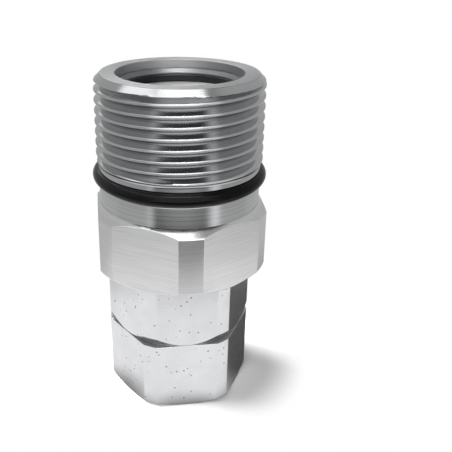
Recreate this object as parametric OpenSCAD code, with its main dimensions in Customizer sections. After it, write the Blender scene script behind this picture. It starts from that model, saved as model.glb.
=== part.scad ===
// Screw-to-connect hydraulic coupler half, 1 inch port, poppet valve in a threaded nose.
// Millimetres. Origin at the centre of the port face, +Z towards the mouth.

/* [Port end] */
// Across flats of the port hexagon
port_flats_w = 39.6; // [39:0.2:42]
// Diameter of the turned corners of the port hexagon
port_corner_d = 43.4; // [43:0.2:46]
// Length of the port hexagon, from the port face to the body
port_hex_l = 40.9; // [39.4:0.5:43.4]
// Height of the turned groove round the port hexagon
groove_h = 21.3; // [19.8:0.5:21.8]
// Depth of that groove below the flats
groove_depth = 0.2; // [0.1:0.1:0.4]
// Length of the long chamfer above the groove
groove_chamfer_l = 2.9; // [2:0.1:3.2]
// Height of the corner chamfer round the port face
port_chamfer_l = 0.8; // [0.6:0.1:1.6]

/* [Port thread] */
// Crest diameter of the female thread, which is the bored hole
port_bore_d = 30.3; // [29:0.1:31]
// Root diameter of the female thread, which sets its relief and its countersink
port_root_d = 33.25; // [32.5:0.05:34]
// Threaded depth from the port face
port_thread_l = 18.6; // [16:0.2:19]
// Length of the thread relief
port_relief_l = 3; // [2:0.5:4]
// Wall between the joint seal groove and the oil passage
spigot_wall = 3.6; // [3:0.1:5]
// Countersink at each end of the passage
passage_chamfer = 0.8; // [0.4:0.1:1]

/* [Body hexagon] */
// Across flats of the body hexagon
body_flats_w = 48.4; // [48:0.2:52]
// Diameter of the turned corners of the body hexagon
body_corner_d = 52.4; // [52:0.2:55]
// Length of the body hexagon with both chamfers
body_hex_l = 20; // [18:0.2:22]
// Slope of the chamfer towards the thread, in degrees
top_chamfer_deg = 34; // [28:1:38]
// Slope of the chamfer towards the port, in degrees
low_chamfer_deg = 38; // [30:1:42]

/* [Neck and dust ring] */
// How far the plain neck lies below the thread crests
neck_step = 0.6; // [0.2:0.05:1]
// Length of the plain neck
neck_l = 6; // [5:0.1:8]
// Cord diameter of the dust ring
dust_cord_d = 4; // [3.4:0.1:4.4]
// How far the floor of the dust ring groove lies below the thread crests
dust_sink = 2.85; // [2.5:0.05:3.1]
// Side play of the dust ring in its groove
dust_play = 0.4; // [0.2:0.1:0.6]

/* [Coupling thread] */
// Outside diameter of the coupling thread
thread_d = 48; // [47.4:0.1:49]
// Pitch of the coupling thread
thread_pitch = 3; // [2.5:0.25:3]
// Threaded length with the mouth chamfer
thread_l = 24.4; // [23:0.2:28]
// Flat on each thread crest
crest_flat_w = 0.5; // [0.4:0.05:0.6]
// Plain land between thread and dust ring
land_l = 2.3; // [1.5:0.1:3]
// How far that land lies below the thread crests
land_step = 0.5; // [0.4:0.05:1]

/* [Mouth] */
// Wall of the nose, from the thread crests to the mouth bore
nose_wall = 6; // [5.4:0.1:6.4]
// Depth of the mouth bore
mouth_bore_l = 2.3; // [2:0.1:3]
// Step from the mouth bore in to the seal pocket
pocket_step = 0.5; // [0.4:0.05:0.6]
// How far the retainer ring sits below that step
retainer_sink = 0.2; // [0.1:0.05:0.4]
// Height of the pressed seal retainer ring
retainer_h = 1.5; // [1.3:0.1:2]
// Height of the cone on the retainer ring
retainer_cone_h = 1.1; // [0.8:0.1:1.2]
// Radial width of the retainer ring
retainer_w = 1.1; // [1:0.05:1.2]
// Height of the nose seal
nose_seal_h = 2.4; // [2:0.1:3]
// Radial width of the nose seal
nose_seal_w = 1.35; // [1.25:0.05:1.4]
// Height of the backup ring under the nose seal
nose_backup_h = 0.8; // [0.6:0.1:1.2]

/* [Valve] */
// Radial step from the seal pocket down to the poppet head
poppet_step = 1.6; // [1.55:0.05:1.8]
// Depth of the poppet face below the mouth
poppet_recess_h = 6.3; // [6:0.1:6.8]
// Thickness of the poppet head
head_h = 3.5; // [3:0.1:4]
// Radial width of the poppet seal under the head
valve_seal_w = 4.4; // [3.6:0.1:6]
// Height of the poppet seal
valve_seal_h = 2.8; // [2.6:0.1:3.4]
// How far the poppet seal and its washer stand out past the poppet face
seal_flare = 1; // [0.8:0.1:1.3]
// Thickness of the washer that clamps the poppet seal
clamp_washer_h = 1.6; // [1.2:0.1:2]
// Stem diameter
stem_d = 10; // [9:0.1:10.4]
// Across flats of the clamp nut
nut_flats_w = 17; // [16:0.5:18]
// Height of the clamp nut
nut_h = 4.5; // [4:0.1:5]
// Thickness of the spring washer under the nut
lock_washer_h = 0.9; // [0.8:0.1:1.2]
// Travel of the poppet
travel_l = 9; // [7:0.5:9]

/* [Valve chamber] */
// Step from the recess wall in to the chamber bore
chamber_step = 2; // [1.6:0.1:2.2]
// Wall between the recess and the roots of the coupling thread
recess_wall = 2.35; // [2:0.05:2.8]
// Length of that recess below the seat cone
recess_l = 9; // [7:0.5:10]
// Wire diameter of the valve spring
spring_wire_d = 2.3; // [1.8:0.1:2.5]
// Mean diameter of the valve spring
spring_mid_d = 24.4; // [24:0.1:25]
// Coils of the valve spring
spring_turns = 4.5; // [4:0.5:4.5]

/* [Guide] */
// Width of the shoulder that the guide rests on
guide_shoulder_w = 0.75; // [0.6:0.05:0.9]
// Height of the guide rim and its arms
guide_rim_h = 3.8; // [3.4:0.1:4.4]
// Radial width of the guide rim
guide_rim_w = 2.5; // [2:0.1:3]
// Arms between rim and hub
guide_arms = 3; // [3:1:4]
// Thickness of each arm
guide_arm_t = 3.6; // [3:0.1:4.5]
// Outside diameter of the guide hub
hub_d = 15.2; // [14.8:0.1:16]
// Hub length above the rim
hub_up_l = 6.4; // [6:0.1:7]
// Hub length below the rim
hub_down_l = 4; // [3:0.1:4.4]
// Wall of the guide bush
bush_wall = 1.2; // [1:0.1:1.4]
// Thickness of the bush flange
bush_flange_h = 0.8; // [0.6:0.1:1]
// Wire thickness of the guide retaining ring
ring_h = 1.5; // [1.2:0.1:1.8]
// Depth of its groove
ring_groove_depth = 1; // [0.8:0.1:1.1]
// Radial width of the guide retaining ring
ring_w = 2.4; // [2:0.1:2.6]

/* [Stem stop] */
// Diameter of the stop ring on the stem
stop_ring_d = 14.2; // [13.6:0.1:14.8]
// Thickness of the stop ring
stop_ring_h = 1.2; // [1:0.1:1.4]
// Stem length below the stop ring
stem_tail_l = 1.6; // [1.2:0.1:2.4]

/* [Screwed joint] */
// Height of the joint thread above the seal bore
joint_thread_h = 0.95; // [0.7:0.05:1]
// Threaded length of the joint
joint_thread_l = 7.2; // [6:0.1:7.6]
// Gap between the adapter spigot and the retaining ring
spigot_gap = 0.5; // [0.4:0.1:1]
// Cord diameter of the joint seal
joint_cord_d = 2.4; // [2:0.1:2.6]
// Height of the joint backup ring
joint_backup_h = 1.1; // [1:0.1:1.5]
// Shoulder left above the joint seal groove
joint_lip = 1.3; // [1:0.1:1.6]

/* [Hidden] */
$fn = 96;

// Clearances between pieces that fit into each other
fit_gap = 0.03;
run_gap = 0.05;
head_gap = 0.1;
seat_gap = 0.1;
stop_gap = 0.4;
// Overrun of every cut
over = 1;

// Radii, from the coupling thread inwards
thread_r = thread_d / 2;
thread_depth = 0.6134 * thread_pitch;
thread_root_r = thread_r - thread_depth;
neck_r = thread_r - neck_step;
land_r = thread_r - land_step;
dust_floor_r = thread_r - dust_sink;
mouth_r = thread_r - nose_wall;
pocket_r = mouth_r - pocket_step;
nose_seal_r = pocket_r - nose_seal_w;
retainer_r = pocket_r - retainer_w;
poppet_r = pocket_r - poppet_step;
valve_seal_r = poppet_r + seal_flare;
seal_spigot_r = poppet_r - valve_seal_w;
recess_r = thread_root_r - recess_wall;
chamber_r = recess_r - chamber_step;
guide_r = chamber_r + guide_shoulder_w;
joint_thread_r = guide_r + joint_thread_h;

// Heights, from the port face upwards
body_z = port_hex_l;
neck_z = body_z + body_hex_l;
dust_z = neck_z + neck_l;
dust_groove_w = dust_cord_d + dust_play;
land_z = dust_z + dust_groove_w;
thread_z = land_z + land_l;
mouth_z = thread_z + thread_l;
poppet_z = mouth_z - poppet_recess_h;
head_z = poppet_z - head_h;
valve_seal_z = head_z - valve_seal_h;
clamp_washer_z = valve_seal_z - clamp_washer_h;
lock_washer_z = clamp_washer_z - lock_washer_h;
nut_z = lock_washer_z - nut_h;

// Seat cone, 45 degrees
head_bore_r = poppet_r + head_gap;
seal_land = (valve_seal_h - seal_flare) / 2;
seat_z = head_z - seal_land + seat_gap;
recess_z = seat_z - (recess_r - head_bore_r);
recess_low_z = recess_z - recess_l;
chamber_z = recess_low_z - chamber_step;
retainer_z = mouth_z - mouth_bore_l - retainer_sink - retainer_h;
pocket_z = retainer_z - nose_seal_h - nose_backup_h;

// Guide stack, hung from the nut and the travel
bush_top_z = nut_z - travel_l - stop_gap;
hub_top_z = bush_top_z - bush_flange_h;
guide_z = hub_top_z - hub_up_l;
guide_low_z = guide_z - guide_rim_h;
hub_z = guide_low_z - hub_down_l;
guide_bore_r = guide_r + fit_gap;
ring_z = guide_low_z - fit_gap - ring_h;
ring_groove_r = guide_bore_r + ring_groove_depth;
stop_ring_z = hub_z - stop_gap - stop_ring_h;
stem_end_z = stop_ring_z - stem_tail_l;
stem_groove_depth = stem_d / 10;
stop_mouth_share = 0.62;
eyelet_share = 0.75;
eyelet_hole_share = 0.5;
closed_pitch_share = 1.08;
wire_sides = 8;
turn_steps = 20;

// Adapter spigot
spigot_z = ring_z - spigot_gap;
joint_groove_w = joint_cord_d + joint_backup_h + 3 * fit_gap;
joint_groove_z = spigot_z - joint_lip - joint_groove_w;
joint_floor_r = guide_bore_r - joint_cord_d - 2 * fit_gap;

// Thread form, 60 degrees
flank_w = thread_depth * tan(30);
root_flat_w = thread_pitch - 2 * flank_w - crest_flat_w;
crests = ceil(thread_l / thread_pitch);

steel = "silver";
rubber = [0.08, 0.08, 0.09];
backup = [0.88, 0.87, 0.82];

// Ring of rectangular section
module ring(r_in, r_out, z, h) {
    translate([0, 0, z]) difference() {
        cylinder(r = r_out, h = h);
        translate([0, 0, -over]) cylinder(r = r_in, h = h + 2 * over);
    }
}

// Round cord of an O-ring
module cord_ring(r_mid, cord, z) {
    translate([0, 0, z]) rotate_extrude() translate([r_mid, 0]) circle(d = cord, $fn = 32);
}

// Hexagonal bar, its corners turned to corner_d and chamfered at both ends
module hex_bar(af, corner_d, z, h, low_deg, top_deg, top_r) {
    rise_low = (corner_d - af) / 2 * tan(low_deg);
    rise_top = (corner_d / 2 - top_r) * tan(top_deg);
    translate([0, 0, z]) intersection() {
        cylinder(d = af / cos(30), h = h, $fn = 6);
        rotate_extrude() polygon([
            [0, 0], [af / 2, 0], [corner_d / 2, rise_low],
            [corner_d / 2, h - rise_top], [top_r, h], [0, h]]);
    }
}

// Ridges of the coupling thread as rings, run on past the mouth
module thread_rings() {
    first = thread_z + crest_flat_w / 2;
    ridges = [for (k = [0 : crests - 1]) let (z = first + k * thread_pitch + crest_flat_w / 2) each [
        [thread_r, z], [thread_root_r, z + flank_w], [thread_root_r, z + flank_w + root_flat_w],
        [thread_r, z + thread_pitch - crest_flat_w]]];
    rotate_extrude() polygon(concat(
        [[0, land_z], [land_r, land_z], [land_r, thread_z - (thread_r - land_r)],
         [thread_r, thread_z]],
        ridges, [[0, first + crests * thread_pitch - crest_flat_w / 2]]));
}

// Outside of the sleeve: neck, dust ring groove, land, thread and mouth chamfer
module sleeve() {
    low_z = body_z + body_hex_l / 2;
    rotate_extrude() polygon([
        [0, low_z], [neck_r, low_z], [neck_r, dust_z], [dust_floor_r, dust_z],
        [dust_floor_r, land_z + land_l / 2], [0, land_z + land_l / 2]]);
    intersection() {
        thread_rings();
        rotate_extrude() polygon([
            [0, land_z], [thread_r, land_z], [thread_r, mouth_z - thread_depth],
            [thread_root_r, mouth_z], [0, mouth_z]]);
    }
}

// Everything that is bored out of the body, from the joint thread up to the mouth
module body_bores() {
    joint_r = joint_thread_r + fit_gap;
    joint_top = body_z + joint_thread_l + fit_gap;
    shoulder_z = guide_z + fit_gap;
    rotate_extrude() polygon([
        [0, body_z - over], [joint_r, body_z - over], [joint_r, joint_top],
        [guide_bore_r, joint_top + joint_r - guide_bore_r],
        [guide_bore_r, ring_z - fit_gap], [ring_groove_r, ring_z - fit_gap],
        [ring_groove_r, ring_z + ring_h + fit_gap], [guide_bore_r, ring_z + ring_h + fit_gap],
        [guide_bore_r, shoulder_z], [chamber_r, shoulder_z],
        [chamber_r, chamber_z], [recess_r, recess_low_z],
        [recess_r, recess_z], [head_bore_r, seat_z], [head_bore_r, pocket_z],
        [pocket_r, pocket_z], [pocket_r, mouth_z - mouth_bore_l], [mouth_r, mouth_z - mouth_bore_l],
        [mouth_r, mouth_z + over], [0, mouth_z + over]]);
}

module body() {
    color(steel) difference() {
        union() {
            rotate([0, 0, 30])
                hex_bar(body_flats_w, body_corner_d, body_z, body_hex_l, low_chamfer_deg, top_chamfer_deg,
                        neck_r);
            sleeve();
        }
        body_bores();
    }
}

// Bored port, relief and oil passage of the adapter
module adapter_bores() {
    port_r = port_bore_d / 2;
    root_r = port_root_d / 2;
    pass_r = joint_floor_r - spigot_wall;
    step_z = port_thread_l + port_relief_l;
    rotate_extrude() polygon([
        [0, -over], [root_r + passage_chamfer, -over], [root_r + passage_chamfer, 0],
        [port_r, root_r + passage_chamfer - port_r],
        [port_r, port_thread_l], [root_r, port_thread_l], [root_r, step_z],
        [pass_r + passage_chamfer, step_z], [pass_r, step_z + passage_chamfer],
        [pass_r, spigot_z - passage_chamfer], [pass_r + passage_chamfer, spigot_z],
        [pass_r + passage_chamfer, spigot_z + over], [0, spigot_z + over]]);
}

module adapter() {
    flat_r = port_flats_w / 2;
    corner_r = port_corner_d / 2;
    waist_r = flat_r - groove_depth;
    thread_top = body_z + joint_thread_l;
    spigot_root_z = (groove_h + groove_chamfer_l + port_hex_l) / 2;
    color(steel) difference() {
        union() {
            intersection() {
                cylinder(d = port_flats_w / cos(30), h = port_hex_l, $fn = 6);
                rotate_extrude() polygon([
                    [0, 0], [flat_r, 0], [corner_r, port_chamfer_l],
                    [corner_r, groove_h], [waist_r, groove_h],
                    [corner_r, groove_h + groove_chamfer_l], [corner_r, port_hex_l],
                    [0, port_hex_l]]);
            }
            rotate_extrude() polygon([
                [0, spigot_root_z], [waist_r - over, spigot_root_z],
                [waist_r - over, body_z], [joint_thread_r, body_z], [joint_thread_r, thread_top],
                [guide_r, thread_top + joint_thread_h],
                [guide_r, joint_groove_z], [joint_floor_r, joint_groove_z],
                [joint_floor_r, joint_groove_z + joint_groove_w],
                [guide_r, joint_groove_z + joint_groove_w],
                [guide_r, spigot_z - joint_lip / 2], [guide_r - joint_lip / 2, spigot_z],
                [0, spigot_z]]);
        }
        adapter_bores();
    }
}

module dust_o_ring() {
    color(rubber) cord_ring(dust_floor_r + dust_cord_d / 2 + fit_gap, dust_cord_d, (dust_z + land_z) / 2);
}

// Pressed ring with the bright cone that holds the nose seal down
module seal_retainer_ring() {
    low_z = retainer_z;
    out_r = pocket_r - fit_gap;
    color("gainsboro") rotate_extrude() polygon([
        [retainer_r, low_z], [out_r, low_z], [out_r, low_z + retainer_h],
        [retainer_r, low_z + retainer_h - retainer_cone_h]]);
}

module nose_seal() {
    low_z = pocket_z + nose_backup_h;
    round_r = nose_seal_h / 4;
    color(rubber) rotate_extrude() {
        translate([nose_seal_r + round_r, low_z])
            square([nose_seal_w - round_r - fit_gap, nose_seal_h - fit_gap]);
        translate([nose_seal_r, low_z + round_r])
            square([round_r, nose_seal_h - 2 * round_r]);
        translate([nose_seal_r + round_r, low_z + round_r]) circle(r = round_r, $fn = 32);
        translate([nose_seal_r + round_r, low_z + nose_seal_h - round_r - fit_gap])
            circle(r = round_r, $fn = 32);
    }
}

module nose_seal_backup_ring() {
    color(backup) ring(head_bore_r, pocket_r - fit_gap, pocket_z, nose_backup_h);
}

module poppet() {
    neck_r = stem_d / 2 - stem_groove_depth;
    color(steel) rotate_extrude() polygon([
        [0, stem_end_z], [neck_r, stem_end_z], [stem_d / 2, stem_end_z + stem_groove_depth],
        [stem_d / 2, stop_ring_z], [neck_r, stop_ring_z], [neck_r, stop_ring_z + stop_ring_h],
        [stem_d / 2, stop_ring_z + stop_ring_h], [stem_d / 2, valve_seal_z],
        [seal_spigot_r, valve_seal_z], [seal_spigot_r, head_z],
        [poppet_r, head_z], [poppet_r, poppet_z - head_gap],
        [poppet_r - head_gap, poppet_z], [0, poppet_z]]);
}

module poppet_seal() {
    out_r = valve_seal_r;
    color(rubber) rotate_extrude() polygon([
        [seal_spigot_r + fit_gap, valve_seal_z], [out_r, valve_seal_z],
        [out_r, head_z - seal_land - seal_flare], [poppet_r, head_z - seal_land],
        [poppet_r, head_z], [seal_spigot_r + fit_gap, head_z]]);
}

module seal_clamp_washer() {
    color("darkgray") ring(stem_d / 2 + fit_gap, valve_seal_r, clamp_washer_z, clamp_washer_h);
}

// Split spring washer under the nut
module nut_lock_washer() {
    slit = lock_washer_h * 1.2;
    color("dimgray") difference() {
        ring(stem_d / 2 + fit_gap, nut_flats_w / 2 - fit_gap, lock_washer_z, lock_washer_h);
        rotate([0, 0, 20]) translate([0, -slit / 2, lock_washer_z - over])
            cube([nut_flats_w, slit, lock_washer_h + 2 * over]);
    }
}

module clamp_nut() {
    nut_chamfer = nut_h / 10;
    corner_r = nut_flats_w / cos(30) / 2;
    color("lightgray") difference() {
        translate([0, 0, nut_z]) intersection() {
            cylinder(r = corner_r, h = nut_h, $fn = 6);
            rotate_extrude() polygon([
                [0, 0], [nut_flats_w / 2, 0], [corner_r, nut_chamfer * 2], [corner_r, nut_h], [0, nut_h]]);
        }
        translate([0, 0, nut_z - over]) cylinder(d = stem_d + 2 * fit_gap, h = nut_h + 2 * over);
    }
}

// Height of the wire's centre at turned angle a: one closed turn at each end, even pitch between
function coil_rise(a, len, turns) =
    let (closed_pitch = spring_wire_d * closed_pitch_share, last = turns * 360 - 360)
    a < 360 ? closed_pitch * a / 360
    : a > last ? len - spring_wire_d - closed_pitch * (turns * 360 - a) / 360
    : closed_pitch + (a - 360) * (len - spring_wire_d - 2 * closed_pitch) / (last - 360);

module valve_spring() {
    len = clamp_washer_z - guide_z - 2 * fit_gap;
    sides = wire_sides;
    steps = floor(spring_turns * turn_steps);
    wire_r = spring_wire_d / 2;
    ring_points = [for (i = [0 : steps]) let (a = i / steps * spring_turns * 360)
        for (j = [0 : sides - 1]) let (b = j * 360 / sides,
            r = spring_mid_d / 2 + wire_r * cos(b),
            z = guide_z + fit_gap + wire_r + coil_rise(a, len, spring_turns) + wire_r * sin(b))
            [r * cos(a), r * sin(a), z]];
    walls = [for (i = [0 : steps - 1]) for (j = [0 : sides - 1]) let (n = (j + 1) % sides)
        each [[i * sides + j, (i + 1) * sides + j, (i + 1) * sides + n],
              [i * sides + j, (i + 1) * sides + n, i * sides + n]]];
    ends = [[for (j = [0 : sides - 1]) j], [for (j = [sides - 1 : -1 : 0]) steps * sides + j]];
    color("slategray") polyhedron(points = ring_points, faces = concat(walls, ends));
}

module guide_spider() {
    rim_in = guide_r - guide_rim_w;
    bush_r = stem_d / 2 + run_gap + bush_wall;
    color("silver") difference() {
        union() {
            ring(rim_in, guide_r, guide_low_z, guide_rim_h);
            translate([0, 0, hub_z]) cylinder(d = hub_d, h = hub_top_z - hub_z);
            for (k = [0 : guide_arms - 1]) rotate([0, 0, 90 + k * 360 / guide_arms])
                translate([0, -guide_arm_t / 2, guide_low_z])
                    cube([rim_in + guide_rim_w / 2, guide_arm_t, guide_rim_h]);
        }
        translate([0, 0, hub_z - over]) cylinder(r = bush_r, h = hub_top_z - hub_z + 2 * over);
    }
}

module guide_bush() {
    in_r = stem_d / 2 + run_gap;
    out_r = in_r + bush_wall - fit_gap;
    color("darkgoldenrod") difference() {
        union() {
            translate([0, 0, hub_z]) cylinder(r = out_r, h = bush_top_z - hub_z);
            translate([0, 0, hub_top_z]) cylinder(d = hub_d - bush_wall / 2, h = bush_flange_h);
        }
        translate([0, 0, hub_z - over]) cylinder(r = in_r, h = bush_top_z - hub_z + 2 * over);
    }
}

// Internal circlip with two eyelets
module guide_retaining_ring() {
    out_r = ring_groove_r - 2 * fit_gap;
    in_r = out_r - ring_w;
    eye_r = ring_w * eyelet_share;
    gap_deg = 16;
    eye_deg = 14;
    color("dimgray") difference() {
        union() {
            difference() {
                ring(in_r, out_r, ring_z, ring_h);
                rotate([0, 0, -90 - gap_deg / 2]) translate([0, 0, ring_z - over])
                    rotate_extrude(angle = gap_deg) square([out_r + over, ring_h + 2 * over]);
            }
            for (s = [-1, 1]) rotate([0, 0, -90 + s * eye_deg])
                translate([in_r, 0, ring_z]) cylinder(r = eye_r, h = ring_h, $fn = 48);
        }
        for (s = [-1, 1]) rotate([0, 0, -90 + s * eye_deg])
            translate([in_r, 0, ring_z - over])
                cylinder(r = eye_r * eyelet_hole_share, h = ring_h + 2 * over, $fn = 32);
    }
}

// Open ring snapped into the groove near the stem's end
module stem_stop_ring() {
    in_r = stem_d / 2 - stem_groove_depth + fit_gap;
    mouth_w = stem_d * stop_mouth_share;
    color("dimgray") difference() {
        ring(in_r, stop_ring_d / 2, stop_ring_z + fit_gap, stop_ring_h - 2 * fit_gap);
        translate([0, -mouth_w / 2, stop_ring_z - over]) cube([stop_ring_d, mouth_w, stop_ring_h + 2 * over]);
    }
}

module adapter_o_ring() {
    r_mid = (joint_floor_r + guide_bore_r) / 2;
    z = joint_groove_z + joint_backup_h + 2 * fit_gap + joint_cord_d / 2;
    color(rubber) cord_ring(r_mid, joint_cord_d, z);
}

module adapter_backup_ring() {
    color(backup) ring(joint_floor_r + fit_gap, guide_bore_r - fit_gap, joint_groove_z + fit_gap / 2,
                       joint_backup_h);
}

body();
adapter();
dust_o_ring();
seal_retainer_ring();
nose_seal();
nose_seal_backup_ring();
poppet();
poppet_seal();
seal_clamp_washer();
nut_lock_washer();
clamp_nut();
valve_spring();
guide_spider();
guide_bush();
guide_retaining_ring();
stem_stop_ring();
adapter_o_ring();
adapter_backup_ring();
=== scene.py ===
import math

import bmesh
import bpy
import numpy as np
from mathutils import Matrix


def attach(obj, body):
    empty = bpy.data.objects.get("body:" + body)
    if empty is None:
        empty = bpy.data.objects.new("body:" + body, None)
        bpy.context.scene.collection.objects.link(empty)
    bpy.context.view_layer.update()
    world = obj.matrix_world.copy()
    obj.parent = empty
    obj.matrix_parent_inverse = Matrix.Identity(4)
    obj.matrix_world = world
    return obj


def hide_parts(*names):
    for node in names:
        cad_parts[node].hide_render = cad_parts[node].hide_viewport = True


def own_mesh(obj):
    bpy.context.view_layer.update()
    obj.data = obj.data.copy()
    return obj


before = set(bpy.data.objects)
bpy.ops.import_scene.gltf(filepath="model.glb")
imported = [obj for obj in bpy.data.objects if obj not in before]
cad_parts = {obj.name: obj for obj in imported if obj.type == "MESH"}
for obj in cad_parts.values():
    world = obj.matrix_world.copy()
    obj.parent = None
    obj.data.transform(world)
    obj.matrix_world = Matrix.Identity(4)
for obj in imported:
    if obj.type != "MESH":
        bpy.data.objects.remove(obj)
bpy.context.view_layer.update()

# Camera: stands a forearm's length from the part and a little above its mouth, so the part
# narrows strongly towards its foot. Place and turn are in the frame of the photograph, where the
# part's body hexagon has one corner 7.3 degrees to the right of the nearest point.
PART_TURN = math.radians(7.3)
CAM_PLACE_MM = (0.12, -177.39, 133.59)
CAM_YAW, CAM_PITCH, CAM_ROLL = 0.0093, 0.3937, 0.0081
CAM_FOCAL_PX = 643.4
PHOTO_PX = 452
CAM_SHIFT = (0.09, -0.06)
SENSOR_MM = 36


def camera_turn(yaw, pitch, roll):
    """Columns right, up and back of a camera that looks along +Y, turned right by yaw, down by
    pitch and about its own axis by roll."""
    level = math.cos(pitch)
    ahead = np.array([math.sin(yaw) * level, math.cos(yaw) * level, -math.sin(pitch)])
    right = np.array([math.cos(yaw), -math.sin(yaw), 0.0])
    up = np.cross(right, ahead)
    turned_right = math.cos(roll) * right + math.sin(roll) * up
    turned_up = math.cos(roll) * up - math.sin(roll) * right
    return Matrix(np.column_stack([turned_right, turned_up, -ahead]).tolist())


camera = bpy.data.objects.new("camera", bpy.data.cameras.new("camera"))
camera.data.sensor_width = SENSOR_MM
camera.data.lens = CAM_FOCAL_PX / PHOTO_PX * SENSOR_MM
camera.data.shift_x, camera.data.shift_y = CAM_SHIFT
camera.data.clip_start, camera.data.clip_end = 0.01, 20
photo_to_part = Matrix.Rotation(-PART_TURN, 4, "Z")
camera_place = Matrix.Translation([v / 1000 for v in CAM_PLACE_MM])
camera_aim = camera_turn(CAM_YAW, CAM_PITCH, CAM_ROLL).to_4x4()
camera.matrix_world = photo_to_part @ camera_place @ camera_aim
bpy.context.scene.collection.objects.link(camera)
bpy.context.scene.camera = camera


# Body: one piece of free-cutting steel bar, turned to the threaded nose, neck and bores, its large
# hexagon milled, then zinc plated in clear passivate. The plating is bright on cut surfaces, and
# every tool mark shows through it.
THREAD_R, PITCH, CREST = 24.0, 3.0, 0.5
THREAD_DEPTH = 0.6134 * PITCH
THREAD_ROOT_R = THREAD_R - THREAD_DEPTH
FLANK = THREAD_DEPTH * math.tan(math.radians(30))
MOUTH_Z, THREAD_Z, LAND_Z, DUST_Z = 98.0, 73.6, 71.3, 66.9
LAND_R, DUST_FLOOR_R, NECK_R, NECK_Z = 23.5, 21.15, 23.4, 60.9
BODY_FLAT_R, BODY_CORNER_R, BODY_Z = 24.2, 26.2, 40.9
TOP_SLOPE, LOW_SLOPE = math.tan(math.radians(34)), math.tan(math.radians(38))
MOUTH_R, MOUTH_BORE_L, POCKET_R, POCKET_Z, HEAD_BORE_R = 18.0, 2.3, 17.5, 90.8, 16.0
SEAT_Z, RECESS_R, RECESS_Z, CHAMBER_R, CHAMBER_Z = 87.4, 19.8, 74.6, 17.8, 72.6
GUIDE_Z, GUIDE_BORE_R, JOINT_R = 61.8, 18.58, 19.53
RING_Z, RING_H, RING_GROOVE_R, JOINT_TOP = 56.47, 1.5, 19.58, 48.1
FACE_EASE, BORE_EASE, LEDGE_EASE, HEX_EASE, HEX_INSET = 0.18, 0.15, 0.2, 0.22, 0.05
STEPS_ROUND = 268


def srgb(code):
    """Linear colour with alpha 1 from a hex sRGB code."""
    parts = [int(code[i : i + 2], 16) / 255 for i in (1, 3, 5)]
    return [c / 12.92 if c <= 0.04045 else ((c + 0.055) / 1.055) ** 2.4 for c in parts] + [1.0]


def add(tree, kind, inputs=(), **settings):
    """Adds a shader node, with its settings, and links or sets its inputs by name or number."""
    made = tree.nodes.new(kind)
    for key, value in settings.items():
        setattr(made, key, value)
    for key, value in dict(inputs).items():
        if isinstance(value, bpy.types.NodeSocket):
            tree.links.new(value, made.inputs[key])
        else:
            made.inputs[key].default_value = value
    return made


def material(name):
    """A new material with an empty node tree, and that tree."""
    made = bpy.data.materials.new(name)
    made.use_nodes = True
    made.node_tree.nodes.clear()
    return made, made.node_tree


def rounds(flat_r=None, corner_r=None, first_face=0.0):
    """Angles of one whole turn in radians, first and last the same place. A hexagon gets three
    more at each edge of its turned corners, arccos(flat / corner) either side of a face."""
    even = np.linspace(0, 2 * np.pi, STEPS_ROUND + 1)
    if flat_r is None:
        return even
    middles = first_face + np.arange(6) * np.pi / 3
    half = math.acos(flat_r / corner_r)
    soft = math.radians(0.35)
    corners = middles[:, None, None] + np.array([-half, half])[:, None]
    edges = ((corners + np.array([-soft, 0, soft])) % (2 * np.pi)).ravel()
    far = np.abs((even[:, None] - edges + np.pi) % (2 * np.pi) - np.pi).min(1) > soft
    inner = np.sort(np.concatenate([even[far], edges]))
    return np.unique(np.concatenate([[0], inner, [2 * np.pi]]))


def hexagon(angles, flat_r, corner_r, first_face):
    """Radius of a hexagon with turned corners: flat / cos(angle to its face's middle), at most
    the corner radius."""
    off = (angles - first_face + np.pi / 6) % (np.pi / 3) - np.pi / 6
    return np.minimum(flat_r / np.cos(off), corner_r)


def eased(corners, radius, closed=True, steps=5):
    """Outline with eased corners. Each corner P becomes (1-u)^2 A + 2u(1-u) P + u^2 B, where A
    and B lie the radius away along its two sides. Corners are (..., count, 2)."""
    corners = np.asarray(corners, float)
    before, after = np.roll(corners, 1, -2), np.roll(corners, -1, -2)
    to_a, to_b = before - corners, after - corners
    len_a = np.linalg.norm(to_a, axis=-1, keepdims=True)
    len_b = np.linalg.norm(to_b, axis=-1, keepdims=True)
    reach_a = np.minimum(radius, 0.45 * len_a) / np.maximum(len_a, 1e-9)
    reach_b = np.minimum(radius, 0.45 * len_b) / np.maximum(len_b, 1e-9)
    a, b = corners + to_a * reach_a, corners + to_b * reach_b
    u = np.linspace(0, 1, steps)[:, None]
    a, p, b = a[..., None, :], corners[..., None, :], b[..., None, :]
    arcs = (1 - u) ** 2 * a + 2 * u * (1 - u) * p + u**2 * b
    if not closed:
        arcs[..., 0, :, :] = corners[..., 0, None, :]
        arcs[..., -1, :, :] = corners[..., -1, None, :]
    return arcs.reshape(*corners.shape[:-2], -1, 2)


def turned(outline, angles):
    """Grid of points (rows along the outline, columns round the axis) from an outline of (r, z),
    either one for all angles or one for each."""
    outline = np.asarray(outline, float)
    if outline.ndim == 2:
        outline = np.broadcast_to(outline, (len(angles), *outline.shape))
    r, z = outline[..., 0].T, outline[..., 1].T
    return np.stack([r * np.cos(angles), r * np.sin(angles), z], -1)


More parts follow.
